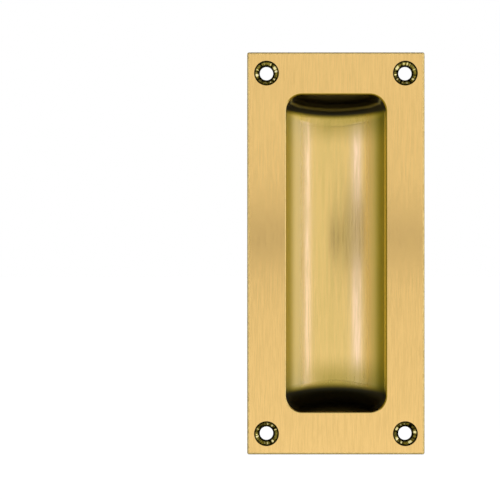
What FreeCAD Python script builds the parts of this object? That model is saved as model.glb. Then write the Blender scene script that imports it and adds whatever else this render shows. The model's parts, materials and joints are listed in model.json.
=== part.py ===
import FreeCAD, Part
import math
import os

import Sketcher

# Flush pull for a sliding pocket door: one brass casting, in millimetres.
# X is across the plate, Z is up the plate and -Y is the side that faces the room.
# The origin is the centre of the screw pattern, on the back of the plate.

# Driving sizes: the name, the value and what the size is.
SIZES = (
    ("plate_width", 45.0, "plate, across"),
    ("plate_height", 102.0, "plate, along"),
    ("plate_thickness", 2.4, "plate, front to back"),
    ("plate_edge_radius", 0.5, "rounding of the plate's corners and edges"),
    ("recess_width", 25.2, "finger recess, across"),
    ("recess_height", 80.5, "finger recess, along, at the plate's face"),
    ("recess_side_depth", 3.5, "straight side of the recess, from the plate's face"),
    ("recess_side_radius", 7.0, "round between the side of the recess and its bowed floor"),
    ("recess_floor_turn", 45.0, "half the angle that the bowed floor spans, in degrees"),
    ("recess_end_draft", 12.0, "lean of the two end walls, in degrees"),
    ("recess_corner_radius", 4.0, "corner between side and end wall at the plate's face"),
    ("recess_floor_radius", 6.2, "the same corner where it crosses the middle of the floor"),
    ("recess_rim_radius", 0.4, "polished rounding round the mouth of the recess"),
    ("cup_wall", 1.8, "wall of the cup behind the plate"),
    ("cup_root_radius", 0.5, "rounding where the cup leaves the plate's back"),
    ("screw_side_margin", 4.9, "screw holes, from their centres to the plate's long edges"),
    ("screw_end_margin", 5.3, "screw holes, from their centres to the plate's short edges"),
    ("screw_hole_width", 3.4, "screw hole, diameter"),
    ("countersink_width", 6.2, "mouth of the countersink, diameter"),
    ("countersink_angle", 82.0, "full angle of the countersink, in degrees"),
)

# Forms that cut or are cut run on past the plate's face and past the floor by this much.
RUN_ON = "Sizes.plate_thickness"

# How close two measures are when they count as the same, in millimetres.
NEAR = 1e-4

# Points that a test of an edge looks at.
EDGE_SAMPLES = 5

# How deep the recess is below the plate's face in the middle of its bowed floor.
RECESS_DEPTH = (
    "Sizes.recess_side_depth + Sizes.recess_side_radius"
    " + (Sizes.recess_width / 2 - Sizes.recess_side_radius) * tan(Sizes.recess_floor_turn / 2)"
)

# Sketch frames at the plate's face, named for where the sketch's own two axes point.
ACROSS_AND_DEEP = FreeCAD.Rotation()
DEEP_AND_UP = FreeCAD.Rotation(FreeCAD.Vector(1, 1, 1), 120)

# A sketch's own axes and origin, and the places on one of its elements.
HORIZONTAL, VERTICAL = -1, -2
START, END, CENTRE = 1, 2, 3
ORIGIN = (HORIZONTAL, START)


def make_sizes(doc):
    """The sheet of driving sizes, each under a plain name."""
    sheet = doc.addObject("Spreadsheet::Sheet", "Sizes")
    for row, (alias, value, meaning) in enumerate(SIZES, start=1):
        sheet.set("A%d" % row, meaning)
        sheet.set("B%d" % row, str(value))
        sheet.setAlias("B%d" % row, alias)
    doc.recompute()
    return sheet


def bind(thing, formulas):
    """Tie properties of an object to formulas on the sheet."""
    for path, formula in formulas.items():
        thing.setExpression(path, formula)


def combine(doc, kind, name, base, tool):
    """A boolean of two objects."""
    result = doc.addObject(kind, name)
    result.Base = base
    result.Tool = tool
    return result


# Sketching

def face_sketch(doc, name, rotation):
    """An empty sketch whose origin is the middle of the plate's face."""
    sketch = doc.addObject("Sketcher::SketchObject", name)
    sketch.Placement = FreeCAD.Placement(FreeCAD.Vector(), rotation)
    bind(sketch, {"Placement.Base.y": "-Sizes.plate_thickness"})
    return sketch


def line(start, end):
    """A straight element between two points in a sketch."""
    return Part.LineSegment(FreeCAD.Vector(*start, 0), FreeCAD.Vector(*end, 0))


def circle(centre, radius):
    """A round element in a sketch."""
    return Part.Circle(FreeCAD.Vector(*centre, 0), FreeCAD.Vector(0, 0, 1), radius)


def arc(centre, radius, start, end):
    """A part of a circle between two angles, counted from the sketch's first axis."""
    return Part.ArcOfCircle(circle(centre, radius), start, end)


def relate(sketch, kind, *where):
    """Add a constraint that has no size."""
    sketch.addConstraint(Sketcher.Constraint(kind, *where))


def measure(sketch, kind, *where, size, formula):
    """Add a constraint whose size is a formula on the sheet; size is the value to start from."""
    index = sketch.addConstraint(Sketcher.Constraint(kind, *where, size))
    sketch.setExpression("Constraints[%d]" % index, formula)


def join(sketch, *pairs):
    """Make pairs of element ends meet."""
    for first, second in pairs:
        relate(sketch, "Coincident", *first, *second)


# Finger recess and cup

def recess_depth(sheet):
    """Depth of the recess below the plate's face in the middle of its bowed floor."""
    reach = sheet.recess_width / 2 - sheet.recess_side_radius
    rise = reach * math.tan(math.radians(sheet.recess_floor_turn) / 2)
    return sheet.recess_side_depth + sheet.recess_side_radius + rise


def trough_section(doc, name, sheet, wall, wall_formula):
    """The cross-section: straight sides run on past the face, a round each side, a bowed floor."""
    half = sheet.recess_width / 2 + wall
    deep = sheet.recess_side_depth
    proud = sheet.plate_thickness
    turn = math.radians(sheet.recess_floor_turn)
    side_radius = sheet.recess_side_radius + wall
    reach = half - side_radius
    floor_radius = side_radius + reach / math.sin(turn)
    floor_centre = (0, deep - reach / math.tan(turn))
    up, steep, shallow = math.pi / 2, math.pi / 2 - turn, math.pi / 2 + turn
    sketch = face_sketch(doc, name, ACROSS_AND_DEEP)
    left = sketch.addGeometry(line((-half, -proud), (-half, deep)))
    left_round = sketch.addGeometry(arc((-reach, deep), side_radius, shallow, math.pi))
    left_floor = sketch.addGeometry(arc(floor_centre, floor_radius, up, shallow))
    right_floor = sketch.addGeometry(arc(floor_centre, floor_radius, steep, up))
    right_round = sketch.addGeometry(arc((reach, deep), side_radius, 0, steep))
    right = sketch.addGeometry(line((half, deep), (half, -proud)))
    front = sketch.addGeometry(line((half, -proud), (-half, -proud)))
    join(
        sketch,
        ((left_floor, START), (right_floor, END)),
        ((left_floor, CENTRE), (right_floor, CENTRE)),
        ((right, END), (front, START)),
        ((front, END), (left, START)),
    )
    relate(sketch, "Tangent", left, END, left_round, END)
    relate(sketch, "Tangent", left_round, START, left_floor, END)
    relate(sketch, "Tangent", right_floor, START, right_round, END)
    relate(sketch, "Tangent", right_round, START, right, START)
    relate(sketch, "Vertical", left)
    relate(sketch, "Vertical", right)
    relate(sketch, "Horizontal", front)
    relate(sketch, "Symmetric", left_round, CENTRE, right_round, CENTRE, VERTICAL)
    relate(sketch, "PointOnObject", left_floor, CENTRE, VERTICAL)
    relate(sketch, "PointOnObject", left_floor, START, VERTICAL)
    rounded = "Sizes.recess_side_radius + " + wall_formula
    across = "Sizes.recess_width + 2 * " + wall_formula
    side = "Sizes.recess_side_depth"
    spread = "Sizes.recess_floor_turn"
    measure(sketch, "Radius", left_round, size=side_radius, formula=rounded)
    measure(sketch, "Angle", left_floor, size=turn, formula=spread)
    measure(sketch, "DistanceX", front, END, front, START, size=2 * half, formula=across)
    measure(sketch, "DistanceY", *ORIGIN, left_round, CENTRE, size=deep, formula=side)
    measure(sketch, "DistanceY", front, END, *ORIGIN, size=proud, formula=RUN_ON)
    return sketch


def trough_side(doc, name, sheet, wall, wall_formula):
    """The trough seen from the side: its length at the plate's face and its leaning ends."""
    draft = math.radians(sheet.recess_end_draft)
    half = sheet.recess_height / 2 + wall / math.cos(draft)
    proud = sheet.plate_thickness
    deep = recess_depth(sheet) + wall + proud
    proud_half = half + proud * math.tan(draft)
    deep_half = half - deep * math.tan(draft)
    sketch = face_sketch(doc, name, DEEP_AND_UP)
    lower = sketch.addGeometry(line((-proud, -proud_half), (deep, -deep_half)))
    back = sketch.addGeometry(line((deep, -deep_half), (deep, deep_half)))
    upper = sketch.addGeometry(line((deep, deep_half), (-proud, proud_half)))
    front = sketch.addGeometry(line((-proud, proud_half), (-proud, -proud_half)))
    mouth = sketch.addGeometry(line((0, -half), (0, half)), True)
    join(
        sketch,
        ((lower, END), (back, START)),
        ((back, END), (upper, START)),
        ((upper, END), (front, START)),
        ((front, END), (lower, START)),
    )
    relate(sketch, "Vertical", front)
    relate(sketch, "PointOnObject", mouth, START, lower)
    relate(sketch, "PointOnObject", mouth, END, upper)
    relate(sketch, "PointOnObject", mouth, START, VERTICAL)
    relate(sketch, "Symmetric", mouth, START, mouth, END, *ORIGIN)
    relate(sketch, "Symmetric", back, START, back, END, HORIZONTAL)
    reach = " + ".join((RECESS_DEPTH, wall_formula, RUN_ON))
    length = "Sizes.recess_height + 2 * " + wall_formula + " / cos(Sizes.recess_end_draft)"
    measure(sketch, "Angle", lower, size=draft, formula="Sizes.recess_end_draft")
    measure(sketch, "DistanceX", front, START, *ORIGIN, size=proud, formula=RUN_ON)
    measure(sketch, "DistanceX", *ORIGIN, back, START, size=deep, formula=reach)
    measure(sketch, "DistanceY", mouth, START, mouth, END, size=2 * half, formula=length)
    return sketch


def extrude(doc, name, sketch, length):
    """A sketch run out both ways to a length on the sheet."""
    solid = doc.addObject("Part::Extrusion", name)
    solid.Base = sketch
    solid.DirMode = "Normal"
    solid.Symmetric = True
    solid.Solid = True
    bind(solid, {"LengthFwd": length})
    return solid


def end_corners(shape, front_y):
    """The U-shaped edge at each end, where the leaning wall meets the sides and the floor.

    Gives one list of edges for each end. An arc comes first in each list.
    """
    corners = {-1: [], 1: []}
    for number, edge in enumerate(shape.Edges, start=1):
        first = edge.valueAt(edge.FirstParameter)
        last = edge.valueAt(edge.LastParameter)
        runs_along = abs(first.z + last.z) < NEAR
        lies_in_front = max(first.y, last.y) < front_y + NEAR
        if not runs_along and not lies_in_front:
            corners[math.copysign(1, first.z)].append((number, first, last))
    for edges in corners.values():
        edges.sort(key=lambda edge: abs(edge[1].x - edge[2].x) < NEAR)
    return corners.values()


def opening_radii(edges, side_x, rim_radius, floor_radius):
    """Radii for one U-shaped edge: small on its sides, growing to the middle of the floor.

    The rounding runs round the U in the direction in which its first edge is drawn, so each
    edge's two radii are given in that order.
    """

    def radius_at(point):
        if abs(point.x) < NEAR:
            return floor_radius
        if abs(point.x) > side_x - NEAR:
            return rim_radius
        return (rim_radius + floor_radius) / 2

    number, first, last = edges[0]
    heading = math.copysign(1, last.x - first.x)
    result = []
    for number, first, last in edges:
        ordered = sorted((first, last), key=lambda point: heading * point.x)
        result.append((number, *map(radius_at, ordered)))
    return result


def make_trough(doc, name, sheet, wall, wall_formula):
    """The trough grown by a wall, with leaning ends and corners that open out to the floor."""
    section = trough_section(doc, name + "_section", sheet, wall, wall_formula)
    side = trough_side(doc, name + "_side", sheet, wall, wall_formula)
    along = extrude(doc, name + "_along", section, "Sizes.plate_height")
    across = extrude(doc, name + "_across", side, "Sizes.plate_width")
    plain = combine(doc, "Part::Common", name + "_plain", along, across)
    doc.recompute()
    side_x = sheet.recess_width / 2 + wall
    rim_radius = sheet.recess_corner_radius + wall
    floor_radius = sheet.recess_floor_radius + wall
    front_y = -2 * sheet.plate_thickness
    rounded = doc.addObject("Part::Fillet", name)
    rounded.Base = plain
    rounded.Edges = [
        edge
        for corner in end_corners(plain.Shape, front_y)
        for edge in opening_radii(corner, side_x, rim_radius, floor_radius)
    ]
    return rounded


# Plate and cup together

def make_slab(doc, name, front, depth):
    """A slab as wide and as tall as the plate, from a front plane back through a depth."""
    slab = doc.addObject("Part::Box", name)
    bind(
        slab,
        {
            "Length": "Sizes.plate_width",
            "Width": depth,
            "Height": "Sizes.plate_height",
            "Placement.Base.x": "-Sizes.plate_width / 2",
            "Placement.Base.y": front,
            "Placement.Base.z": "-Sizes.plate_height / 2",
        },
    )
    return slab


def make_blank(doc, sheet):
    """Plate and cup in one, with the recess taken out and no edge of the plate rounded yet."""
    plate = make_slab(doc, "plate", "-Sizes.plate_thickness", "Sizes.plate_thickness")
    cup_depth = RECESS_DEPTH + " + Sizes.cup_wall"
    behind_face = make_slab(doc, "behind_face", "-Sizes.plate_thickness / 2", cup_depth)
    outside = make_trough(doc, "cup_outside", sheet, sheet.cup_wall, "Sizes.cup_wall")
    recess = make_trough(doc, "recess", sheet, 0, "0")
    cup = combine(doc, "Part::Common", "cup", outside, behind_face)
    solid = combine(doc, "Part::Fuse", "plate_and_cup", plate, cup)
    return combine(doc, "Part::Cut", "blank", solid, recess)


def edges_where(shape, test):
    """Names of the edges that pass a test at every point sampled."""
    names = []
    for number, edge in enumerate(shape.Edges, start=1):
        if all(test(point) for point in edge.discretize(EDGE_SAMPLES)):
            names.append("Edge%d" % number)
    return names


def round_edges(body, name, radius, test):
    """Round the edges of the casting that pass a test."""
    body.Document.recompute()
    before = body.Tip
    rounding = body.newObject("PartDesign::Fillet", name)
    rounding.Base = (before, edges_where(before.Shape, test))
    bind(rounding, {"Radius": radius})


def round_casting(body, sheet):
    """Round the mouth of the recess, the root of the cup and the plate's own edges."""
    face_y = -sheet.plate_thickness
    side_x = sheet.plate_width / 2
    end_z = sheet.plate_height / 2

    def inside_border(point):
        return abs(point.x) < side_x - NEAR and abs(point.z) < end_z - NEAR

    def round_mouth(point):
        return abs(point.y - face_y) < NEAR and inside_border(point)

    def round_cup(point):
        return abs(point.y) < NEAR and inside_border(point)

    def round_plate(point):
        on_side = abs(abs(point.x) - side_x) < NEAR
        on_end = abs(abs(point.z) - end_z) < NEAR
        on_face_or_back = abs(point.y - face_y) < NEAR or abs(point.y) < NEAR
        return on_side + on_end + on_face_or_back > 1

    round_edges(body, "mouth_rim", "Sizes.recess_rim_radius", round_mouth)
    round_edges(body, "cup_root", "Sizes.cup_root_radius", round_cup)
    round_edges(body, "plate_edges", "Sizes.plate_edge_radius", round_plate)


# Screw holes

def screw_hole_sketch(body, sheet):
    """Four screw holes on the plate's face, centred on the corners of a rectangle."""
    sketch = body.newObject("Sketcher::SketchObject", "screw_pattern")
    front_plane = next(item for item in body.Origin.OriginFeatures if item.Role == "XZ_Plane")
    sketch.AttachmentSupport = [(front_plane, "")]
    sketch.MapMode = "FlatFace"
    bind(sketch, {"AttachmentOffset.Base.z": "Sizes.plate_thickness"})
    across = sheet.plate_width - 2 * sheet.screw_side_margin
    along = sheet.plate_height - 2 * sheet.screw_end_margin
    width = sheet.screw_hole_width
    lower_left, lower_right, upper_left, upper_right = [
        sketch.addGeometry(circle((side * across / 2, height * along / 2), width / 2))
        for height in (-1, 1)
        for side in (-1, 1)
    ]
    relate(sketch, "Symmetric", lower_left, CENTRE, upper_right, CENTRE, *ORIGIN)
    relate(sketch, "Symmetric", lower_left, CENTRE, lower_right, CENTRE, VERTICAL)
    relate(sketch, "Symmetric", lower_left, CENTRE, upper_left, CENTRE, HORIZONTAL)
    for other in (lower_right, upper_left, upper_right):
        relate(sketch, "Equal", lower_left, other)
    corner = (lower_left, CENTRE)
    across_formula = "Sizes.plate_width - 2 * Sizes.screw_side_margin"
    along_formula = "Sizes.plate_height - 2 * Sizes.screw_end_margin"
    measure(sketch, "Diameter", lower_left, size=width, formula="Sizes.screw_hole_width")
    measure(sketch, "DistanceX", *corner, lower_right, CENTRE, size=across, formula=across_formula)
    measure(sketch, "DistanceY", *corner, upper_left, CENTRE, size=along, formula=along_formula)
    return sketch


def drill_screw_holes(body, sheet):
    """Holes through the plate, each with its countersink at the face."""
    sketch = screw_hole_sketch(body, sheet)
    body.Document.recompute()
    hole = body.newObject("PartDesign::Hole", "screw_holes")
    hole.Profile = sketch
    hole.ThreadType = "None"
    hole.DepthType = "ThroughAll"
    hole.HoleCutType = "Countersink"
    bind(
        hole,
        {
            "Diameter": "Sizes.screw_hole_width",
            "HoleCutDiameter": "Sizes.countersink_width",
            "HoleCutCountersinkAngle": "Sizes.countersink_angle",
        },
    )


def make_flush_pull(doc, sheet):
    """The finished pull: the blank with its edges rounded and its screw holes drilled."""
    body = doc.addObject("PartDesign::Body", "flush_pull")
    body.Label = "flush_pull"
    body.BaseFeature = make_blank(doc, sheet)
    round_casting(body, sheet)
    drill_screw_holes(body, sheet)
    doc.recompute()
    return body


# Tests before anything is written

def check_document(doc):
    """Stop if any object of the document failed to build."""
    for thing in doc.Objects:
        if "Invalid" in thing.State or "Error" in thing.State:
            raise RuntimeError("%s did not build: %s" % (thing.Label, thing.State))


def check_part(part):
    """Stop unless the sub-part is one valid solid."""
    shape = part.Shape
    if shape.isNull() or not shape.isValid() or len(shape.Solids) != 1:
        raise RuntimeError("%s is not one valid solid" % part.Label)


def check_holes_cut(part):
    """Stop if the screw holes took nothing from the plate."""
    drilled = part.Tip
    if drilled.Shape.Volume >= drilled.BaseFeature.Shape.Volume:
        raise RuntimeError("%s cut nothing" % drilled.Label)


def main():
    """Build the document, test it and write the sub-part's file."""
    doc = FreeCAD.newDocument("flush_pull")
    sheet = make_sizes(doc)
    part = make_flush_pull(doc, sheet)
    check_document(doc)
    check_part(part)
    check_holes_cut(part)
    os.makedirs("parts", exist_ok=True)
    part.Shape.exportStep("parts/%s.step" % part.Label)
    print(part.Label, "volume %.1f mm3" % part.Shape.Volume, "faces", len(part.Shape.Faces))


main()
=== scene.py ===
"""Looks of the pocket door pull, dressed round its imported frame.

Lengths are in metres. X is across the plate, Z is up the plate and -Y faces the room.
"""

import json
import logging
import math
from collections.abc import Callable
from dataclasses import dataclass
from enum import Enum
from typing import Any

import bmesh
import bpy
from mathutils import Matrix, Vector


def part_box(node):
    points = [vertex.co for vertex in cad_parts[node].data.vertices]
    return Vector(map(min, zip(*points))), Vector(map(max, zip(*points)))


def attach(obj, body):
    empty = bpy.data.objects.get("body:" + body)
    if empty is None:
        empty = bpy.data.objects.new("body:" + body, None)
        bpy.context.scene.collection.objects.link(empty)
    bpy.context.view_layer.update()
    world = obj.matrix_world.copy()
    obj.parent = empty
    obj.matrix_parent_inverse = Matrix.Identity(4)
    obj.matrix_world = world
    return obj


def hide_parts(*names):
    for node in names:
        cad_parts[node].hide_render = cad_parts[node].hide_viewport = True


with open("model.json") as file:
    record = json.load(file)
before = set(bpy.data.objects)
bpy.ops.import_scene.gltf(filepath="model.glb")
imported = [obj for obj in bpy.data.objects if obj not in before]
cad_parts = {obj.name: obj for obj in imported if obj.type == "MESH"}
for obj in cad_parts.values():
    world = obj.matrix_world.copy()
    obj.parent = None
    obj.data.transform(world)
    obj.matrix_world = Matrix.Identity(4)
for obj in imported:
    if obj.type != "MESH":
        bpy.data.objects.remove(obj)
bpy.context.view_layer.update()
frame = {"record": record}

NODE = "flush_pull"
MM = 0.001
QUARTER_TURN = math.pi / 2
HALVINGS = 24
TOWARDS_ROOM = Vector((0.0, -1.0, 0.0))
INTO_DOOR = Vector((0.0, 1.0, 0.0))
RIGHT = Vector((1.0, 0.0, 0.0))
UP = Vector((0.0, 0.0, 1.0))

Colour = tuple[float, float, float]
Span = tuple[float, float]
Row = list[Vector]
Socket = bpy.types.NodeSocket

WHITE: Colour = (1.0, 1.0, 1.0)
QUARTERS = ((1, 1), (-1, 1), (-1, -1), (1, -1))

log = logging.getLogger("door_pull")


class Surface(Enum):
    """Surfaces of the casting that are finished differently, in the order of its materials."""

    FACE = 0
    EDGE = 1
    RIM = 2
    RECESS = 3
    COUNTERSINK = 4
    BACK = 5


class Grain(Enum):
    """Which way the tool that finished a surface left its marks."""

    UPRIGHT = "up and down the plate"
    TURNED = "round the nearest screw hole"
    CAST = "no direction"


# Shapes

def placed(name: str, data: bpy.types.ID) -> bpy.types.Object:
    """Put a mesh, a light or a camera into the scene as a new object.

    Args:
        name: the object's name.
        data: what the object shows.

    Returns:
        The object, at the origin.
    """
    thing = bpy.data.objects.new(name, data)
    bpy.context.scene.collection.objects.link(thing)
    return thing


def falls_to_zero(height: Callable[[float], float], low: float, high: float) -> float:
    """Find where a falling function reaches zero, by halving.

    Args:
        height: the function, above zero at low and below zero at high.
        low: where the search begins.
        high: where the search ends.

    Returns:
        The place between low and high, closer than a millionth of their distance.
    """
    for _ in range(HALVINGS):
        middle = (low + high) / 2
        if height(middle) > 0:
            low = middle
        else:
            high = middle
    return (low + high) / 2


def smooth_step(value: float) -> float:
    """Rise from 0 to 1 as the value does, level at both ends."""
    share = max(0.0, min(1.0, value))
    return share * share * (3 - 2 * share)


def softened(points: list[Vector], radii: list[float], steps: int) -> list[Vector]:
    """Round the inner corners of an open outline.

    Args:
        points: the outline, corner by corner.
        radii: one radius for each corner between the first point and the last.
        steps: how many short runs make each rounded corner.

    Returns:
        The points of the rounded corners, in order, without the outline's two ends.
    """
    result = []
    for before, corner, after, radius in zip(points, points[1:], points[2:], radii):
        inward = (corner - before).normalized()
        outward = (after - corner).normalized()
        half_turn = inward.angle(outward) / 2
        start = corner - inward * radius * math.tan(half_turn)
        end = corner + outward * radius * math.tan(half_turn)
        centre = corner + (outward - inward).normalized() * radius / math.cos(half_turn)
        for step in range(steps + 1):
            way = (start - centre).slerp(end - centre, step / steps)
            result.append(centre + way.normalized() * radius)
    return result


class Skin:
    """The casting's skin, laid sheet by sheet and then welded into one closed mesh."""

    WELD = 0.001 * MM

    def __init__(self) -> None:
        """Start with an empty mesh."""
        self.mesh = bmesh.new()

    def lay_sheet(self, rows: list[Row], surface: Surface, closed: bool = False) -> None:
        """Join rows of points into a sheet of four-sided faces.

        Args:
            rows: the points, with as many in each row.
            surface: the finish that the sheet gets.
            closed: whether each row's last point joins its first.
        """
        made = [[self.mesh.verts.new(point) for point in row] for row in rows]
        for upper, lower in zip(made, made[1:]):
            ends = range(len(upper) if closed else len(upper) - 1)
            for here in ends:
                there = (here + 1) % len(upper)
                corners = (upper[here], upper[there], lower[there], lower[here])
                self.mark(self.mesh.faces.new(corners), surface)

    def fill_flat(self, loops: list[Row], surface: Surface) -> None:
        """Fill a flat area, its outline first and then the loops that it leaves open.

        Args:
            loops: closed loops of points in one plane.
            surface: the finish that the area gets.
        """
        edges = []
        for loop in loops:
            ring = [self.mesh.verts.new(point) for point in loop]
            edges += [self.mesh.edges.new(pair) for pair in zip(ring, ring[1:] + ring[:1])]
        filled = bmesh.ops.triangle_fill(self.mesh, edges=edges, use_beauty=True)
        for item in filled["geom"]:
            if isinstance(item, bmesh.types.BMFace):
                self.mark(item, surface)

    @staticmethod
    def mark(face: bmesh.types.BMFace, surface: Surface) -> None:
        """Shade a face smoothly and give it a finish."""
        face.material_index = surface.value
        face.smooth = True

    def weld(self, name: str) -> bpy.types.Object:
        """Join the sheets along their seams.

        Args:
            name: the name of the finished piece.

        Returns:
            The piece, as an object at the origin.

        Raises:
            RuntimeError: the sheets leave a gap.
        """
        bmesh.ops.remove_doubles(self.mesh, verts=self.mesh.verts, dist=self.WELD)
        bmesh.ops.recalc_face_normals(self.mesh, faces=self.mesh.faces)
        if any(not edge.is_manifold for edge in self.mesh.edges):
            raise RuntimeError(f"the skin of {name} has a gap")
        data = bpy.data.meshes.new(name)
        self.mesh.to_mesh(data)
        self.mesh.free()
        return placed(name, data)


@dataclass(frozen=True)
class Trough:
    """A rounded trough whose leaning ends meet it in corners that open towards the floor.

    Its section has straight sides, a round on each side and a floor that is bowed less. The
    recess is one such trough. The outside of the cup is another, larger by the wall.
    """

    face_y: float
    flat_y: float
    lip_radius: float
    surface: Surface
    lip_surface: Surface
    wall: float = 0.0
    mouth_width: float = 25.2 * MM
    mouth_height: float = 80.5 * MM
    side_depth: float = 3.5 * MM
    side_radius: float = 7.0 * MM
    floor_turn: float = math.radians(45.0)
    end_draft: float = math.radians(12.0)
    rim_corner: float = 4.0 * MM
    floor_corner: float = 6.2 * MM
    round_steps: int = 128
    corner_steps: int = 24
    lip_steps: int = 8

    @property
    def half_width(self) -> float:
        """Half the distance between the straight sides."""
        return self.mouth_width / 2 + self.wall

    @property
    def side_reach(self) -> float:
        """How far the axis of a side's round lies from the middle."""
        return self.mouth_width / 2 - self.side_radius

    @property
    def side_axis_y(self) -> float:
        """How deep the axes of the two side rounds lie."""
        return self.face_y + self.side_depth

    @property
    def end_normal(self) -> Vector:
        """The way out through the upper end wall."""
        return Vector((0.0, math.sin(self.end_draft), math.cos(self.end_draft)))

    @property
    def end_distance(self) -> float:
        """How far the upper end wall lies from the origin, along its normal."""
        mouth_end = Vector((0.0, self.face_y, self.mouth_height / 2))
        return self.end_normal.dot(mouth_end) + self.wall

    def bend(self, turn: float) -> tuple[Vector, float]:
        """Find the part of the section where the wall has turned so far.

        Args:
            turn: how far the way out through the wall has turned from straight back.

        Returns:
            The centre and the radius of that part of the section.
        """
        radius = self.side_radius + self.wall
        if abs(turn) > self.floor_turn:
            return Vector((math.copysign(self.side_reach, turn), self.side_axis_y, 0.0)), radius
        drop = self.side_reach / math.tan(self.floor_turn)
        centre = Vector((0.0, self.side_axis_y - drop, 0.0))
        return centre, radius + self.side_reach / math.sin(self.floor_turn)

    def corner_radius(self, turn: float) -> float:
        """Find how large the end corner is, from the middle of the floor to the rim.

        Args:
            turn: how far the wall has turned there, from 0 to a quarter turn.

        Returns:
            The corner's radius.
        """
        beyond = QUARTER_TURN - self.floor_turn
        over_floor = smooth_step(turn / self.floor_turn)
        over_side = smooth_step((turn - self.floor_turn) / beyond)
        shrunk = (over_floor + over_side) / 2
        return self.floor_corner + (self.rim_corner - self.floor_corner) * shrunk + self.wall

    def point(self, station: float, share: float) -> tuple[Vector, Vector]:
        """Find a point in the rounded corner at the upper end.

        Args:
            station: place round the section, as the turn of the wall: 0 is the middle of the
                floor, a quarter turn is where the right side is straight, and more is up it.
            share: 0 where the corner leaves the trough and 1 where it meets the end wall.

        Returns:
            The point, and the way out through the wall there.
        """
        turn = max(-QUARTER_TURN, min(QUARTER_TURN, station))
        corner = self.corner_radius(abs(turn))
        outward = Vector((math.sin(turn), math.cos(turn), 0.0))
        bend_centre, bend_radius = self.bend(turn)
        centre = bend_centre + outward * (bend_radius - corner)
        centre.y -= (abs(station) - abs(turn)) * self.half_width
        level = self.end_distance - corner - centre.y * self.end_normal.y
        centre.z = level / self.end_normal.z
        normal = outward.slerp(self.end_normal, share)
        return centre + normal * corner, normal

    def lip_station(self, share: float) -> float:
        """Find where a ball of the lip's radius touches both the wall and the flat.

        Args:
            share: how far round the corner, from the trough to the end wall.

        Returns:
            The station where the ball touches the wall.
        """

        def height(station: float) -> float:
            """How far the ball still is from the flat."""
            place, normal = self.point(station, share)
            return place.y + self.lip_radius * normal.y - self.flat_y - self.lip_radius

        return falls_to_zero(height, 0.0, 2 * QUARTER_TURN)

    def corner_shares(self) -> list[float]:
        """Steps round an end corner, from the trough to the end wall."""
        return [step / self.corner_steps for step in range(self.corner_steps + 1)]

    def lip_rows(self) -> list[Row]:
        """Roll the lip right round the mouth.

        Returns:
            Closed rows of points, from the flat to the wall.
        """
        rows: list[Row] = [[] for _ in range(self.lip_steps + 1)]
        for side, end in QUARTERS:
            for share in self.corner_shares()[:: side * end]:
                touch, normal = self.point(self.lip_station(share), share)
                centre = touch + normal * self.lip_radius
                for step, row in enumerate(rows):
                    way = TOWARDS_ROOM.slerp(-normal, step / self.lip_steps)
                    place = centre + way * self.lip_radius
                    row.append(Vector((place.x * side, place.y, place.z * end)))
        return rows

    def wall_rows(self) -> list[Row]:
        """Run over the trough from one end wall to the other.

        Returns:
            Open rows of points, each right across the trough from lip to lip.
        """
        rows = []
        for end in (1, -1):
            for share in self.corner_shares()[::-end]:
                lip = self.lip_station(share)
                row = []
                for step in range(self.round_steps + 1):
                    station = lip * (2 * step / self.round_steps - 1)
                    place, _ = self.point(station, share)
                    row.append(Vector((place.x, place.y, place.z * end)))
                rows.append(row)
        return rows

    def lay(self, skin: Skin) -> Row:
        """Lay the trough's wall, its two ends and its lip.

        Args:
            skin: the casting's skin.

        Returns:
            The loop where the lip meets the flat.
        """
        walls = self.wall_rows()
        lips = self.lip_rows()
        skin.lay_sheet(walls, self.surface)
        skin.fill_flat([walls[0]], self.surface)
        skin.fill_flat([walls[-1]], self.surface)
        skin.lay_sheet(lips, self.lip_surface, closed=True)
        return lips[0]


@dataclass(frozen=True)
class Plate:
    """The flat plate's outer edge, rounded all round."""

    low: Vector
    high: Vector
    back_y: float = 0.0
    edge_radius: float = 0.5 * MM
    edge_steps: int = 8

    def ring(self, reach: float, y: float) -> Row:
        """Go once round the plate.

        Args:
            reach: how far the ring stands out from the plate's flat.
            y: how deep it lies.

        Returns:
            A closed loop of points.
        """
        across = self.high.x - self.edge_radius
        along = self.high.z - self.edge_radius
        result = []
        for quarter, (side, end) in enumerate(QUARTERS):
            for step in range(self.edge_steps + 1):
                turn = (quarter + step / self.edge_steps) * QUARTER_TURN
                x = side * across + reach * math.cos(turn)
                z = end * along + reach * math.sin(turn)
                result.append(Vector((x, y, z)))
        return result

    def flat(self, y: float) -> Row:
        """The four corners of the flat on the face or the back."""
        return self.ring(0.0, y)[:: self.edge_steps + 1]

    def lay(self, skin: Skin) -> None:
        """Lay the rounded edge from the face to the back.

        Args:
            skin: the casting's skin.
        """
        radius = self.edge_radius
        turns = [step / self.edge_steps * QUARTER_TURN for step in range(self.edge_steps + 1)]
        steps = [(radius * math.sin(turn), radius * (1 - math.cos(turn))) for turn in turns]
        rows = [self.ring(reach, self.low.y + depth) for reach, depth in steps]
        rows += [self.ring(reach, self.back_y - depth) for reach, depth in reversed(steps)]
        skin.lay_sheet(rows, Surface.EDGE, closed=True)


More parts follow.
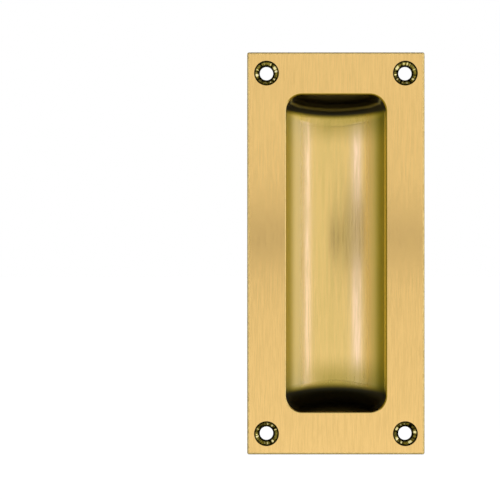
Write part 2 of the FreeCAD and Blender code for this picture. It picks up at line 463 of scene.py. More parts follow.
@dataclass(frozen=True)
class ScrewHole:
    """One screw hole with its countersink, turned about an axis through the plate."""

    x: float
    z: float
    bore_radius: float
    face_y: float
    back_y: float = 0.0
    sink_radius: float = 3.1 * MM
    sink_angle: float = math.radians(82.0)
    mouth_softness: float = 0.12 * MM
    throat_softness: float = 0.10 * MM
    back_softness: float = 0.12 * MM
    collar: float = 0.15 * MM
    turn_steps: int = 72
    edge_steps: int = 4

    def ring(self, reach: float, y: float) -> Row:
        """Go once round the hole's axis at one depth."""
        turns = [math.tau * step / self.turn_steps for step in range(self.turn_steps)]
        return [
            Vector((self.x + reach * math.cos(turn), y, self.z + reach * math.sin(turn)))
            for turn in turns
        ]

    def lay(self, skin: Skin) -> tuple[Row, Row]:
        """Lay the countersink and the bore, with a narrow flat collar round each opening.

        Args:
            skin: the casting's skin.

        Returns:
            The outer loops of the collars on the face and on the back.
        """
        depth = (self.sink_radius - self.bore_radius) / math.tan(self.sink_angle / 2)
        outline = [
            Vector((2 * self.sink_radius, self.face_y)),
            Vector((self.sink_radius, self.face_y)),
            Vector((self.bore_radius, self.face_y + depth)),
            Vector((self.bore_radius, self.back_y)),
            Vector((2 * self.bore_radius, self.back_y)),
        ]
        softness = [self.mouth_softness, self.throat_softness, self.back_softness]
        profile = softened(outline, softness, self.edge_steps)
        rows = [self.ring(reach, y) for reach, y in profile]
        front = self.ring(profile[0].x + self.collar, self.face_y)
        back = self.ring(profile[-1].x + self.collar, self.back_y)
        skin.lay_sheet([front, rows[0]], Surface.FACE, closed=True)
        skin.lay_sheet(rows, Surface.COUNTERSINK, closed=True)
        skin.lay_sheet([rows[-1], back], Surface.BACK, closed=True)
        return front, back


# Finishes

def opaque(colour: Any) -> Any:
    """Add full opacity to a plain colour, and leave a socket as it is."""
    return colour if isinstance(colour, Socket) else (*colour, 1.0)


class Bench:
    """A node tree, with a short call that adds a node and joins its sockets.

    The mix node's colours go by number, as they share their names with its plain numbers.
    """

    FIRST_COLOUR = 6
    SECOND_COLOUR = 7
    MIXED_COLOUR = 2

    def __init__(self, tree: bpy.types.NodeTree) -> None:
        """Clear the tree for new nodes."""
        self.tree = tree
        self.tree.nodes.clear()

    @classmethod
    def for_new(cls, owner: bpy.types.Material | bpy.types.World) -> "Bench":
        """Clear the nodes of a new material or world."""
        owner.use_nodes = True
        return cls(owner.node_tree)

    def add(self, kind: str, inputs: dict[str | int, Any], **settings: Any) -> bpy.types.Node:
        """Add a node.

        Args:
            kind: the node's type, without the word ShaderNode in front of it.
            inputs: for each socket, by name or number, a plain value or a socket to join.
            settings: options of the node itself.

        Returns:
            The node.
        """
        node = self.tree.nodes.new("ShaderNode" + kind)
        for option, value in settings.items():
            setattr(node, option, value)
        for socket, value in inputs.items():
            if isinstance(value, Socket):
                self.tree.links.new(value, node.inputs[socket])
            else:
                node.inputs[socket].default_value = value
        return node

    def math(self, operation: str, *values: Any) -> Socket:
        """Work out one number from others."""
        return self.add("Math", dict(enumerate(values)), operation=operation).outputs[0]

    def vector_math(self, operation: str, *values: Any) -> Socket:
        """Work out one vector from others."""
        return self.add("VectorMath", dict(enumerate(values)), operation=operation).outputs[0]

    def place(self) -> Socket:
        """Where each point lies."""
        return self.add("TexCoord", {}).outputs["Object"]

    def wall(self) -> Socket:
        """Which way the surface faces at each point."""
        return self.add("TexCoord", {}).outputs["Normal"]

    def scale(self, vector: Any, factor: Any) -> Socket:
        """Make a vector longer or shorter."""
        return self.add("VectorMath", {0: vector, "Scale": factor}, operation="SCALE").outputs[0]

    def noise(self, place: Any, detail: float, roughness: float = 0.5) -> Socket:
        """Soft noise between 0 and 1, one bump to each unit of the place."""
        inputs = {"Vector": place, "Scale": 1.0, "Detail": detail, "Roughness": roughness}
        return self.add("TexNoise", inputs).outputs["Fac"]

    def between(self, value: Any, low: Any, high: Any, span: Span = (0.0, 1.0)) -> Socket:
        """Go evenly from one number to another as a value goes over a span."""
        start, end = span
        inputs = {"Value": value, "From Min": start, "From Max": end, "To Min": low, "To Max": high}
        return self.add("MapRange", inputs).outputs[0]

    def rise(self, value: Any, start: float, full: float) -> Socket:
        """Go smoothly from 0 where a value is at the start to 1 where it is full."""
        inputs = {"Value": value, "From Min": start, "From Max": full}
        return self.add("MapRange", inputs, interpolation_type="SMOOTHSTEP").outputs[0]

    def blend(self, share: Any, first: Any, second: Any) -> Socket:
        """Mix two colours."""
        colours = {self.FIRST_COLOUR: opaque(first), self.SECOND_COLOUR: opaque(second)}
        mix = self.add("Mix", {"Factor": share, **colours}, data_type="RGBA")
        return mix.outputs[self.MIXED_COLOUR]

    def mix_shaders(self, share: Any, first: Any, second: Any) -> Socket:
        """Mix two shaders."""
        return self.add("MixShader", {0: share, 1: first, 2: second}).outputs[0]

    def shade(self, share: Any, colour: Any, shade: Colour) -> Socket:
        """Darken a colour by a shade, as far as the share says."""
        return self.vector_math("MULTIPLY", colour, self.blend(share, WHITE, shade))

    def parts(self, vector: Any) -> bpy.types.NodeOutputs:
        """Take a vector apart into its X, Y and Z."""
        return self.add("SeparateXYZ", {0: vector}).outputs

    def length(self, vector: Any) -> Socket:
        """Measure a vector."""
        return self.add("VectorMath", {0: vector}, operation="LENGTH").outputs["Value"]

    def seen_directly_or_mirrored(self) -> Socket:
        """Tell what the camera sees from what only lights the pull.

        Returns:
            1 for what is seen straight or in metal or glass, and 0 for soft light.
        """
        path = self.add("LightPath", {})
        straight = path.outputs["Is Camera Ray"]
        mirrored = self.math("MAXIMUM", straight, path.outputs["Is Glossy Ray"])
        return self.math("MAXIMUM", mirrored, path.outputs["Is Transmission Ray"])


@dataclass(frozen=True)
class ScrewPattern:
    """Where the four screw holes lie, at the same distances to each side of the middle."""

    x: float
    z: float

    def around(self, bench: Bench) -> tuple[Any, Any]:
        """Measure from the axis of the nearest screw hole.

        Args:
            bench: the material's nodes.

        Returns:
            The way from the axis to each point, and in which quarter of the plate it lies.
        """
        place = bench.place()
        quarter = bench.vector_math("SIGN", place)
        axis = bench.vector_math("MULTIPLY", quarter, (self.x, 0.0, self.z))
        away = bench.vector_math("SUBTRACT", place, axis)
        return bench.vector_math("MULTIPLY", away, (1.0, 0.0, 1.0)), quarter


@dataclass(frozen=True)
class PaintedLightAndDulling:
    """Painted light and shade in the recess, and its dulling where the polish didn't reach.

    A tone covers the metal with painted light or shade, and a painted shade darkens it. Each span
    gives where a change starts and where it is full, away from the middle of the recess. Painted
    shade and roughness fade in up and down from a middle point, and less so to its sides. The
    ends beyond are painted nearly black. A painted highlight runs across them where their wall
    leans by a set amount.
    """

    # painted light on the left side and painted shade on the right side
    left_tone: Colour
    left_span: Span
    right_tone: Colour
    right_span: Span
    # painted shade on both steep walls
    wall_shade: Colour
    wall_span: Span
    # painted light on the straight sides next to the mouth
    lip_tone: Colour
    lip_span: Span
    dullness: float
    dull_span: Span
    # painted shade that fades in towards the ends, and the roughness that rises with it
    end_fade_shade: Colour
    end_fade_middle: tuple[float, float]
    end_fade_along: Span
    end_fade_across: Span
    end_fade_dullness: float
    # painted shade that makes the ends nearly black, with less sheen at a glancing angle
    end_tone: Colour
    end_shade: Colour
    end_sheen: Colour
    upper_span: Span
    lower_span: Span
    end_bow: float
    # a painted highlight across the dark ends
    arc_highlight_tone: Colour
    arc_highlight_lean: float
    arc_highlight_width: float

    def dark_ends(self, bench: Bench, place: Any) -> Socket:
        """Find the ends painted dark, whose edges bow away from the middle at the sides.

        Args:
            bench: the material's nodes.
            place: X, Y and Z of each point.

        Returns:
            How far each point belongs to them, from 0 to 1.
        """
        bow = bench.math("MULTIPLY", bench.math("MULTIPLY", place["X"], place["X"]), self.end_bow)
        down = bench.math("MULTIPLY", place["Z"], -1.0)
        upper = bench.rise(bench.math("SUBTRACT", place["Z"], bow), *self.upper_span)
        lower = bench.rise(bench.math("SUBTRACT", down, bow), *self.lower_span)
        return bench.math("MAXIMUM", upper, lower)

    def end_fade(self, bench: Bench, place: Any) -> Socket:
        """Find where the painted shade and the extra roughness fade in before the ends.

        Args:
            bench: the material's nodes.
            place: X, Y and Z of each point.

        Returns:
            How far they have faded in at each point, from 0 to 1.
        """
        middle_x, middle_z = self.end_fade_middle
        across = bench.math("ABSOLUTE", bench.math("SUBTRACT", place["X"], middle_x))
        along = bench.math("ABSOLUTE", bench.math("SUBTRACT", place["Z"], middle_z))
        beside = bench.rise(across, *self.end_fade_across)
        return bench.math("MULTIPLY", bench.rise(along, *self.end_fade_along), beside)

    def cover(self, bench: Bench, colour: Any, gloss: Any) -> tuple[Any, Any, Any]:
        """Paint light and shade onto the clean metal, and dull it.

        Args:
            bench: the material's nodes.
            colour: the clean metal's colour.
            gloss: the clean metal's roughness.

        Returns:
            The colour with the painted light and shade on it, the roughness with the dulling on
            it, and how much of the sheen at a glancing angle is left.
        """
        place = bench.parts(bench.place())
        lean = bench.parts(bench.wall())["Z"]
        ends = self.dark_ends(bench, place)
        # thin: how far the painted shade and the extra roughness have faded in towards the ends
        thin = self.end_fade(bench, place)
        out = bench.math("ABSOLUTE", place["X"])
        left = bench.math("MULTIPLY", place["X"], -1.0)
        # painted light on the left side, painted shade on the right side and on both walls
        colour = bench.blend(bench.rise(left, *self.left_span), colour, self.left_tone)
        colour = bench.blend(bench.rise(place["X"], *self.right_span), colour, self.right_tone)
        colour = bench.shade(bench.rise(out, *self.wall_span), colour, self.wall_shade)
        # painted shade fading in towards the ends
        colour = bench.shade(thin, colour, self.end_fade_shade)
        # painted shade taking the blue out towards the ends painted dark
        colour = bench.shade(ends, colour, self.end_shade)
        # painted light on the straight sides next to the mouth
        colour = bench.blend(bench.rise(out, *self.lip_span), colour, self.lip_tone)
        # a painted highlight across the ends, which are painted nearly black
        off_line = bench.math("ABSOLUTE", bench.math("ADD", lean, self.arc_highlight_lean))
        arc_highlight = bench.rise(off_line, self.arc_highlight_width, 0.0)
        colour = bench.blend(ends, colour, bench.blend(arc_highlight, self.end_tone, self.arc_highlight_tone))
        dull = bench.math("MAXIMUM", bench.rise(out, *self.dull_span), ends)
        dull = bench.math("MAXIMUM", dull, bench.math("MULTIPLY", thin, self.end_fade_dullness))
        gloss = bench.between(dull, gloss, self.dullness)
        # the ends painted dark also keep less sheen at a glancing angle
        return colour, gloss, bench.blend(ends, WHITE, self.end_sheen)


@dataclass(frozen=True)
class RightAndTopShade:
    """Painted shade towards the right and the top. Each span gives where it starts and is full."""

    shade: Colour
    right_span: Span
    upper_span: Span

    def cover(self, bench: Bench, colour: Any) -> Socket:
        """Paint shade onto the metal.

        Args:
            bench: the material's nodes.
            colour: the metal's colour.

        Returns:
            The colour with the painted shade on it.
        """
        place = bench.parts(bench.place())
        right = bench.rise(place["X"], *self.right_span)
        upper = bench.rise(place["Z"], *self.upper_span)
        return bench.shade(bench.math("MAXIMUM", right, upper), colour, self.shade)


@dataclass(frozen=True)
class ChatterAndGlints:
    """Chatter marks round a countersink, with painted glints and painted dark facets.

    The facets come from a noise, which also bumps the surface. The glint span is where it paints a
    facet bright and tilts it towards the room, and the hollow span is where it paints one dark.
    The quarter shift makes the four holes differ.
    """

    inner_reach: float
    outer_reach: float
    rim_width: float
    facets: float
    facet_depth: float
    # painted glint colour, and painted dark colour for the hollow facets
    bright_tone: Colour
    dark_tone: Colour
    flatness: float
    glint_span: Span = (0.51, 0.62)
    hollow_span: Span = (0.30, 0.48)
    quarter_shift: tuple[float, float, float] = (5.0, 0.0, 9.0)

    def cut(self, bench: Bench, screws: ScrewPattern, colour: Any) -> tuple[Any, Any, Any]:
        """Cut the facets, with painted glints and painted shade on them.

        Args:
            bench: the material's nodes.
            screws: where the countersinks lie.
            colour: the clean metal's colour.

        Returns:
            The colour with painted glints and painted dark facets, how high each facet stands,
            and the way that it looks.
        """
        away, quarter = screws.around(bench)
        reach = bench.length(away)
        ring = bench.scale(bench.vector_math("NORMALIZE", away), self.facets)
        shift = bench.vector_math("MULTIPLY", quarter, self.quarter_shift)
        facets = bench.noise(bench.vector_math("ADD", ring, shift), detail=1.0)
        inside = bench.rise(reach, self.inner_reach, self.inner_reach + self.rim_width)
        outside = bench.rise(reach, self.outer_reach, self.outer_reach - self.rim_width)
        band = bench.math("MULTIPLY", inside, outside)
        glint = bench.math("MULTIPLY", band, bench.rise(facets, *self.glint_span))
        hollow = bench.math("MULTIPLY", band, bench.rise(facets, *self.hollow_span))
        # painted shade on the hollow facets, painted glints on the bright ones
        colour = bench.blend(hollow, self.dark_tone, colour)
        colour = bench.blend(glint, colour, self.bright_tone)
        towards = bench.scale(TOWARDS_ROOM * self.flatness, glint)
        way = bench.vector_math("NORMALIZE", bench.vector_math("ADD", bench.wall(), towards))
        return colour, bench.math("MULTIPLY", facets, self.facet_depth), way


@dataclass(frozen=True)
class Brass:
    """Brass worked with one tool: its tones, its gloss and the marks that the tool left."""

    name: str
    grain: Grain
    tone: Colour
    tarnish: Colour
    tarnish_share: float
    smooth: float
    rough: float
    mark_width: float
    mark_depth: float
    mark_length: float | None = None
    anisotropy: float = 0.0
    screws: ScrewPattern | None = None
    # painted light and shade with dulling, for the recess
    painted_light_and_dulling: PaintedLightAndDulling | None = None
    # painted shade towards the right and the top
    right_and_top_shade: RightAndTopShade | None = None
    # chatter marks with painted glints and painted dark facets
    chatter_and_glints: ChatterAndGlints | None = None
    patch_size: float = 14.0 * MM
    patch_span: Span = (0.25, 0.75)
    coarser: float = 0.32
    worn_span: Span = (0.38, 0.62)
    least_tarnish: float = 0.6

    def mark_places(self, bench: Bench) -> tuple[Any, Any]:
        """Lay out the tool's marks.

        Args:
            bench: the material's nodes.

        Returns:
            Where the marks run, one unit to a mark, and the way across them on the surface,
            or nothing for marks without a direction.
        """
        place = bench.place()
        fine = 1 / self.mark_width
        if self.grain is Grain.CAST:
            return bench.scale(place, fine), None
        long = 1 / self.mark_length
        if self.grain is Grain.UPRIGHT:
            across = bench.vector_math("CROSS_PRODUCT", bench.wall(), UP)
            return bench.vector_math("MULTIPLY", place, (fine, fine, long)), across
        away, _ = self.screws.around(bench)
        reach = bench.math("MULTIPLY", bench.length(away), fine)
        depth = bench.math("MULTIPLY", bench.parts(place)["Y"], fine)
        rings = bench.add("CombineXYZ", {"X": reach, "Y": depth}).outputs[0]
        drift = bench.vector_math("MULTIPLY", away, (long, 0.0, long))
        return bench.vector_math("ADD", rings, drift), away

    def material(self) -> bpy.types.Material:
        """Make the material.

        Returns:
            The material, worked out from its nodes alone.
        """
        material = bpy.data.materials.new(self.name)
        bench = Bench.for_new(material)
        marks, across = self.mark_places(bench)
        fine = bench.noise(marks, detail=3.0, roughness=0.6)
        broad = bench.noise(bench.scale(marks, self.coarser), detail=2.0)
        patches = bench.noise(bench.scale(bench.place(), 1 / self.patch_size), detail=2.0)
        streaks = bench.math("MULTIPLY", bench.math("ADD", fine, broad), 0.5)
        worn = bench.rise(streaks, *self.worn_span)
        least = self.least_tarnish * self.tarnish_share
        tarnished = bench.between(patches, least, self.tarnish_share, self.patch_span)
        tarnished = bench.math("MULTIPLY", tarnished, worn)
        colour = bench.blend(tarnished, self.tone, self.tarnish)
        gloss = bench.between(worn, self.smooth, self.rough)
        height = bench.math("MULTIPLY", streaks, self.mark_depth)
        bumps = {"Strength": 1.0, "Distance": 1.0}
        surface = {"Metallic": 1.0, "Anisotropic": self.anisotropy}
        # painted light and shade, with dulling
        if self.painted_light_and_dulling:
            colour, gloss, surface["Specular Tint"] = self.painted_light_and_dulling.cover(bench, colour, gloss)
        # painted shade towards the right and the top
        if self.right_and_top_shade:
            colour = self.right_and_top_shade.cover(bench, colour)
        # chatter marks with painted glints and painted dark facets
        if self.chatter_and_glints:
            colour, facets, bumps["Normal"] = self.chatter_and_glints.cut(bench, self.screws, colour)
            height = bench.math("ADD", height, facets)
        bumps["Height"] = height
        surface["Base Color"] = colour
        surface["Roughness"] = gloss
        surface["Normal"] = bench.add("Bump", bumps).outputs[0]
        if self.anisotropy > 0:
            surface["Tangent"] = bench.vector_math("NORMALIZE", across)
        shader = bench.add("BsdfPrincipled", surface)
        bench.add("OutputMaterial", {"Surface": shader.outputs[0]})
        return material


def brushed_face() -> Brass:
    """Brass brushed upright, for the plate's face."""
    return Brass(
        name="brass_brushed_upright",
        grain=Grain.UPRIGHT,
        tone=(0.835, 0.553, 0.198),
        tarnish=(0.64, 0.43, 0.14),
        tarnish_share=0.5,
        smooth=0.17,
        rough=0.23,
        anisotropy=0.85,
        mark_width=0.13 * MM,
        mark_length=2.5 * MM,
        mark_depth=0.0018 * MM,
    )


def linished_edge() -> Brass:
    """Brass linished without a grain, for the plate's edge."""
    return Brass(
        name="brass_linished_edge",
        grain=Grain.CAST,
        tone=(0.92, 0.73, 0.30),
        tarnish=(0.70, 0.55, 0.20),
        tarnish_share=0.6,
        smooth=0.65,
        rough=0.80,
        mark_width=0.25 * MM,
        mark_depth=0.006 * MM,
    )


def polished_rim() -> Brass:
    """Polished brass for the rounding at the recess's mouth, with painted shade right and top."""
    return Brass(
        name="brass_polished_rim",
        grain=Grain.CAST,
        tone=(0.72, 0.52, 0.18),
        tarnish=(0.50, 0.38, 0.12),
        tarnish_share=0.5,
        smooth=0.14,
        rough=0.26,
        mark_width=0.4 * MM,
        mark_depth=0.003 * MM,
        # painted shade on the rim's right side and top
        right_and_top_shade=RightAndTopShade(
            shade=(0.38, 0.36, 0.07),
            right_span=(10.4 * MM, 11.6 * MM),
            upper_span=(38.0 * MM, 39.2 * MM),
        ),
    )


def recess_painted_light_and_dulling() -> PaintedLightAndDulling:
    """The painted light and shade, and the dulling, inside the recess."""
    return PaintedLightAndDulling(
        # painted light on the left side, painted shade on the right side and on both walls
        left_tone=(0.99, 0.79, 0.27),
        left_span=(6.3 * MM, 9.4 * MM),
        right_tone=(0.60, 0.52, 0.11),
        right_span=(7.8 * MM, 12.0 * MM),
        wall_shade=(0.58, 0.58, 0.28),
        wall_span=(9.7 * MM, 12.0 * MM),
        # painted light next to the mouth
        lip_tone=(0.99, 0.85, 0.37),
        lip_span=(12.54 * MM, 12.60 * MM),
        dullness=0.44,
        dull_span=(7.4 * MM, 10.6 * MM),
        # painted shade fading in towards the ends
        end_fade_shade=(0.62, 0.65, 0.46),
        end_fade_middle=(3.0 * MM, 0.9 * MM),
        end_fade_along=(26.2 * MM, 33.8 * MM),
        end_fade_across=(14.0 * MM, 4.0 * MM),
        end_fade_dullness=0.3,
        # the ends painted nearly black, with less sheen
        end_tone=(0.031, 0.029, 0.016),
        end_shade=(1.0, 1.0, 0.1),
        end_sheen=(0.68, 0.68, 0.70),
        upper_span=(34.4 * MM, 36.0 * MM),
        lower_span=(32.8 * MM, 35.2 * MM),
        end_bow=6.5,
        # the painted highlight across the ends
        arc_highlight_tone=(0.27, 0.255, 0.10),
        arc_highlight_lean=0.73,
        arc_highlight_width=0.10,
    )


def satin_recess() -> Brass:
    """Satin brass with painted light and shade and with dulling, for the inside of the recess."""
    return Brass(
        name="brass_satin_recess",
        grain=Grain.UPRIGHT,
        tone=(0.79, 0.55, 0.192),
        tarnish=(0.60, 0.47, 0.14),
        tarnish_share=0.4,
        smooth=0.13,
        rough=0.21,
        anisotropy=0.85,
        mark_width=0.20 * MM,
        mark_length=5.0 * MM,
        mark_depth=0.002 * MM,
        patch_size=9.0 * MM,
        painted_light_and_dulling=recess_painted_light_and_dulling(),
        # painted shade on the recess's right lip
        right_and_top_shade=RightAndTopShade(
            shade=(0.84, 0.75, 0.16),
            right_span=(12.54 * MM, 12.60 * MM),
            upper_span=(39.8 * MM, 40.2 * MM),
        ),
    )


def turned_countersink(screws: ScrewPattern) -> Brass:
    """Brass turned by a drill, with painted glints and dark facets, for the screw holes."""
    return Brass(
        name="brass_turned_countersink",
        grain=Grain.TURNED,
        tone=(0.84, 0.73, 0.20),
        tarnish=(0.42, 0.37, 0.08),
        tarnish_share=1.0,
        smooth=0.16,
        rough=0.34,
        anisotropy=0.5,
        mark_width=0.15 * MM,
        mark_length=1.2 * MM,
        mark_depth=0.01 * MM,
        screws=screws,
        chatter_and_glints=ChatterAndGlints(
            inner_reach=1.94 * MM,
            outer_reach=2.94 * MM,
            rim_width=0.42 * MM,
            facets=3.0,
            facet_depth=0.12 * MM,
            # painted glint colour, and painted dark colour for the hollow facets
            bright_tone=(0.84, 0.74, 0.33),
            dark_tone=(0.022, 0.020, 0.005),
            flatness=1.1,
        ),
    )


def linished_back() -> Brass:
    """Brown brass, for the plate's back and the cup."""
    return Brass(
        name="brass_linished_back",
        grain=Grain.UPRIGHT,
        tone=(0.47, 0.32, 0.115),
        tarnish=(0.30, 0.20, 0.065),
        tarnish_share=0.9,
        smooth=0.30,
        rough=0.42,
        anisotropy=0.4,
        mark_width=0.22 * MM,
        mark_length=7.0 * MM,
        mark_depth=0.006 * MM,
    )


# The pull

@dataclass(frozen=True)
class FlushPull:
    """The pull: plate, recess, cup and screw holes in one casting."""

    low: Vector
    high: Vector
    pattern: dict[str, float]
    cup_wall: float = 1.8 * MM
    mouth_lip: float = 0.4 * MM
    root_radius: float = 0.5 * MM
    even_shading: int = 100

    @property
    def screws(self) -> ScrewPattern:
        """Where the screw holes lie."""
        across, along = self.pattern["spacing_x_mm"], self.pattern["spacing_y_mm"]
        return ScrewPattern(across * MM / 2, along * MM / 2)

    def screw_holes(self) -> list[ScrewHole]:
        """Place the screw holes.

        Returns:
            The four holes, one in each corner of the plate.
        """
        bore = self.pattern["hole_r_mm"] * MM
        return [
            ScrewHole(side * self.screws.x, end * self.screws.z, bore_radius=bore, face_y=self.low.y)
            for side in (-1, 1)
            for end in (-1, 1)
        ]

    def shape(self) -> bpy.types.Object:
        """Lay the whole skin of the casting and weld it.

        Returns:
            The bare casting, each face marked with its surface.
        """
        skin = Skin()
        plate = Plate(self.low, self.high)
        plate.lay(skin)
        recess = Trough(
            face_y=self.low.y,
            flat_y=self.low.y,
            lip_radius=self.mouth_lip,
            surface=Surface.RECESS,
            lip_surface=Surface.RIM,
        )
        cup = Trough(
            face_y=self.low.y,
            flat_y=plate.back_y,
            lip_radius=self.root_radius,
            surface=Surface.BACK,
            lip_surface=Surface.BACK,
            wall=self.cup_wall,
        )
        face_loops = [plate.flat(self.low.y), recess.lay(skin)]
        back_loops = [plate.flat(plate.back_y), cup.lay(skin)]
        for hole in self.screw_holes():
            front, back = hole.lay(skin)
            face_loops.append(front)
            back_loops.append(back)
        skin.fill_flat(face_loops, Surface.FACE)
        skin.fill_flat(back_loops, Surface.BACK)
        return skin.weld("brass_pull")

    def finishes(self) -> dict[Surface, Brass]:
        """Choose the finishes.

        Returns:
            The finish of each surface.
        """
        return {
            Surface.FACE: brushed_face(),
            Surface.EDGE: linished_edge(),
            Surface.RIM: polished_rim(),
            Surface.RECESS: satin_recess(),
            Surface.COUNTERSINK: turned_countersink(self.screws),
            Surface.BACK: linished_back(),
        }

    def dress(self, piece: bpy.types.Object) -> None:
        """Give the casting its finishes and even shading.

        Args:
            piece: the bare casting.
        """
        finishes = self.finishes()
        for surface in Surface:
            piece.data.materials.append(finishes[surface].material())
        shading = piece.modifiers.new("even_shading", "WEIGHTED_NORMAL")
        shading.weight = self.even_shading
        shading.keep_sharp = True

    def build(self) -> bpy.types.Object:
        """Make the pull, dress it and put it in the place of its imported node.

        Returns:
            The finished pull.
        """
        piece = self.shape()
        self.dress(piece)
        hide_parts(NODE)
        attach(piece, "root")
        return piece


# Studio

def flat_sheet(
    name: str, material: bpy.types.Material, centre: Vector, across: Vector, up: Vector
) -> bpy.types.Object:
    """Lay a flat sheet.

    Args:
        name: the sheet's name.
        material: what it is made of.
        centre: its middle.
        across: the way from its middle to one side.
        up: the way from its middle to the side next to that one.

    Returns:
        The sheet.
    """
    data = bpy.data.meshes.new(name)
    data.from_pydata([centre + across * x + up * y for x, y in QUARTERS], [], [(0, 1, 2, 3)])
    data.materials.append(material)
    return placed(name, data)


@dataclass(frozen=True)
class Card:
    """A dark card that the metal mirrors. The camera doesn't see it."""

    name: str
    centre: Vector
    across: Vector
    up: Vector
    fade: tuple[str, float, float] | None = None
    cloth: Colour = (0.012, 0.011, 0.009)
    solid: bool = False

    def material(self) -> bpy.types.Material:
        """Make the cloth.

        Returns:
            The cloth, thinning out along one axis where the card has a fade.
        """
        dark = bpy.data.materials.new(self.name)
        bench = Bench.for_new(dark)
        surface = bench.add("BsdfDiffuse", {"Color": opaque(self.cloth)}).outputs[0]
        if self.fade:
            axis, thin, full = self.fade
            gauze = bench.add("BsdfTransparent", {}).outputs[0]
            thick = bench.rise(bench.parts(bench.place())[axis], thin, full)
            surface = bench.mix_shaders(thick, gauze, surface)
        bench.add("OutputMaterial", {"Surface": surface})
        return dark

    def build(self) -> None:
        """Hang the card."""
        card = flat_sheet(self.name, self.material(), self.centre, self.across, self.up)
        card.visible_camera = False
        card.visible_diffuse = False
        card.visible_shadow = self.solid


@dataclass(frozen=True)
class SoftBox:
    """A soft light that looks at the pull from a bearing in degrees, 0 in front of it."""

    name: str
    bearing: float
    width: float
    brightness: float
    colour: Colour = WHITE
    height: float = 0.9
    distance: float = 0.9
    level: float = 0.0
    mirrored: bool = True

    def build(self) -> None:
        """Set up the light."""
        light = bpy.data.lights.new(self.name, "AREA")
        light.shape = "RECTANGLE"
        light.size = self.width
        light.size_y = self.height
        light.energy = self.brightness * math.pi * self.width * self.height
        light.color = self.colour
        lamp = placed(self.name, light)
        bearing = math.radians(self.bearing)
        towards = Vector((math.sin(bearing), -math.cos(bearing), self.level))
        lamp.location = towards.normalized() * self.distance
        lamp.rotation_mode = "QUATERNION"
        lamp.rotation_quaternion = lamp.location.to_track_quat("Z", "Y")
        lamp.visible_glossy = self.mirrored


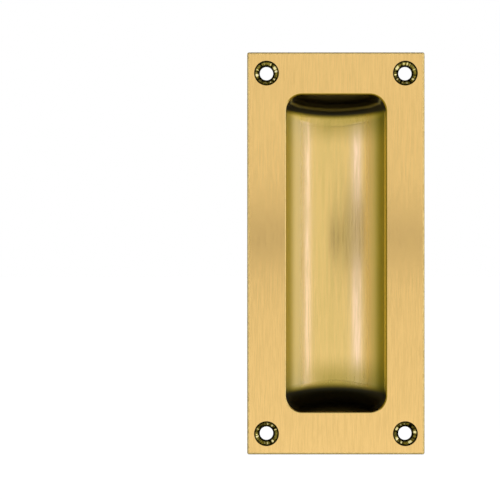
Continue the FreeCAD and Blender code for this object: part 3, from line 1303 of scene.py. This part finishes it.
@dataclass(frozen=True)
class Studio:
    """White surroundings, a pale floor, soft lights, dark cards and the camera."""

    face_y: float
    floor_z: float = -0.105
    floor_reach: float = 8.0
    floor_colour: Colour = (0.80, 0.80, 0.80)
    soft_light: float = 0.72
    floor_lift: float = 0.43
    camera_distance: float = 0.568
    photo_width: float = 500.0
    photo_scale: float = 3945.0
    photo_centre: tuple[float, float] = (335.95, 253.4)

    def surround(self) -> None:
        """Make the surroundings white, and their soft light a little lower."""
        world = bpy.data.worlds.new("white_room")
        bench = Bench.for_new(world)
        soft, full = (
            bench.add("Background", {"Color": opaque(WHITE), "Strength": level}).outputs[0]
            for level in (self.soft_light, 1.0)
        )
        mixed = bench.mix_shaders(bench.seen_directly_or_mirrored(), soft, full)
        bench.add("OutputWorld", {"Surface": mixed})
        bpy.context.scene.world = world

    def floor_paint(self) -> bpy.types.Material:
        """Make the floor's paint.

        Returns:
            A pale paint, lifted a little where it is seen directly or in a mirror.
        """
        material = bpy.data.materials.new("pale_floor")
        bench = Bench.for_new(material)
        paint = bench.add("BsdfDiffuse", {"Color": opaque(self.floor_colour)})
        lift = bench.math("MULTIPLY", bench.seen_directly_or_mirrored(), self.floor_lift)
        glow = bench.add("Emission", {"Color": opaque(WHITE), "Strength": lift})
        both = bench.add("AddShader", {0: paint.outputs[0], 1: glow.outputs[0]})
        bench.add("OutputMaterial", {"Surface": both.outputs[0]})
        return material

    def lay_floor(self) -> None:
        """Lay the pale floor, which keeps the pull's shadow."""
        across, up = RIGHT * self.floor_reach, INTO_DOOR * self.floor_reach
        floor = flat_sheet("floor", self.floor_paint(), UP * self.floor_z, across, up)

    def hang_cards(self) -> None:
        """Hang the dark cards that give the metal its shape."""
        aside = Vector((0.72, -0.694, 0.0))
        cards = (
            Card(
                "card_at_camera",
                centre=Vector((0.11, -0.66, 0.008)),
                across=RIGHT * 0.17,
                up=UP * 0.0085,
                fade=("X", 0.25, -0.02),
            ),
            Card(
                "card_beside_camera",
                centre=Vector((-0.32, -0.66, 0.008)),
                across=RIGHT * 0.26,
                up=UP * 0.008,
                cloth=(0.50, 0.50, 0.36),
            ),
            Card(
                "card_aside",
                centre=Vector((-0.49, -0.51, 0.011)),
                across=aside * 0.36,
                up=UP * 0.020,
                cloth=(0.70, 0.70, 0.67),
                solid=True,
            ),
            Card(
                "card_above",
                centre=Vector((0.0, -0.1, 0.6)),
                across=RIGHT * 0.9,
                up=INTO_DOOR * 0.55,
                fade=("Y", -0.65, -0.45),
            ),
            Card(
                "card_below",
                centre=Vector((0.0, 0.38, -0.1)),
                across=RIGHT * 0.9,
                up=INTO_DOOR * 0.52,
                fade=("Y", -0.07, -0.02),
            ),
            Card(
                "card_left",
                centre=Vector((-0.9, 0.16, 0.4)),
                across=INTO_DOOR * 0.74,
                up=UP * 0.5,
                fade=("Y", -0.45, -0.05),
            ),
            Card(
                "card_right",
                centre=Vector((0.9, 0.4, 0.4)),
                across=INTO_DOOR * 0.5,
                up=UP * 0.5,
                fade=("Y", 0.0, 0.4),
            ),
        )
        for card in cards:
            card.build()

    def light(self) -> None:
        """Set up the lights."""
        boxes = (
            SoftBox("strip_right", 59.5, width=0.25, brightness=1.9, colour=(0.28, 0.30, 1.0)),
            SoftBox("strip_far_right", 75.0, width=0.20, brightness=1.1),
            SoftBox("strip_left", -43.5, width=0.27, brightness=1.75, colour=(0.19, 0.22, 1.0)),
            SoftBox(
                "key_above",
                -20.0,
                width=0.5,
                brightness=2.0,
                height=0.5,
                distance=1.2,
                level=1.6,
                mirrored=False,
            ),
        )
        for box in boxes:
            box.build()

    def aim_camera(self) -> None:
        """Place the camera as in the photograph, level and square to the plate."""
        data = bpy.data.cameras.new("camera")
        data.lens = self.camera_distance * self.photo_scale / self.photo_width * data.sensor_width
        camera = placed("camera", data)
        right, down = (place - self.photo_width / 2 for place in self.photo_centre)
        camera.location = (
            -right / self.photo_scale,
            self.face_y - self.camera_distance,
            down / self.photo_scale,
        )
        camera.rotation_euler = (QUARTER_TURN, 0.0, 0.0)
        bpy.context.scene.camera = camera

    def build(self) -> None:
        """Set up the whole studio."""
        self.surround()
        self.lay_floor()
        self.hang_cards()
        self.light()
        self.aim_camera()
        bpy.context.scene.view_settings.view_transform = "Standard"


def main() -> None:
    """Build the pull and the studio, and report each piece."""
    logging.basicConfig(level=logging.INFO, format="%(message)s")
    low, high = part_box(NODE)
    mounts = {mount["name"]: mount for mount in frame["record"]["mounts"]}
    piece = FlushPull(low, high, mounts["screw_holes"]["dims"]).build()
    log.info("%s: %d faces", piece.name, len(piece.data.polygons))
    Studio(face_y=low.y).build()


if __name__ == "__main__":
    main()
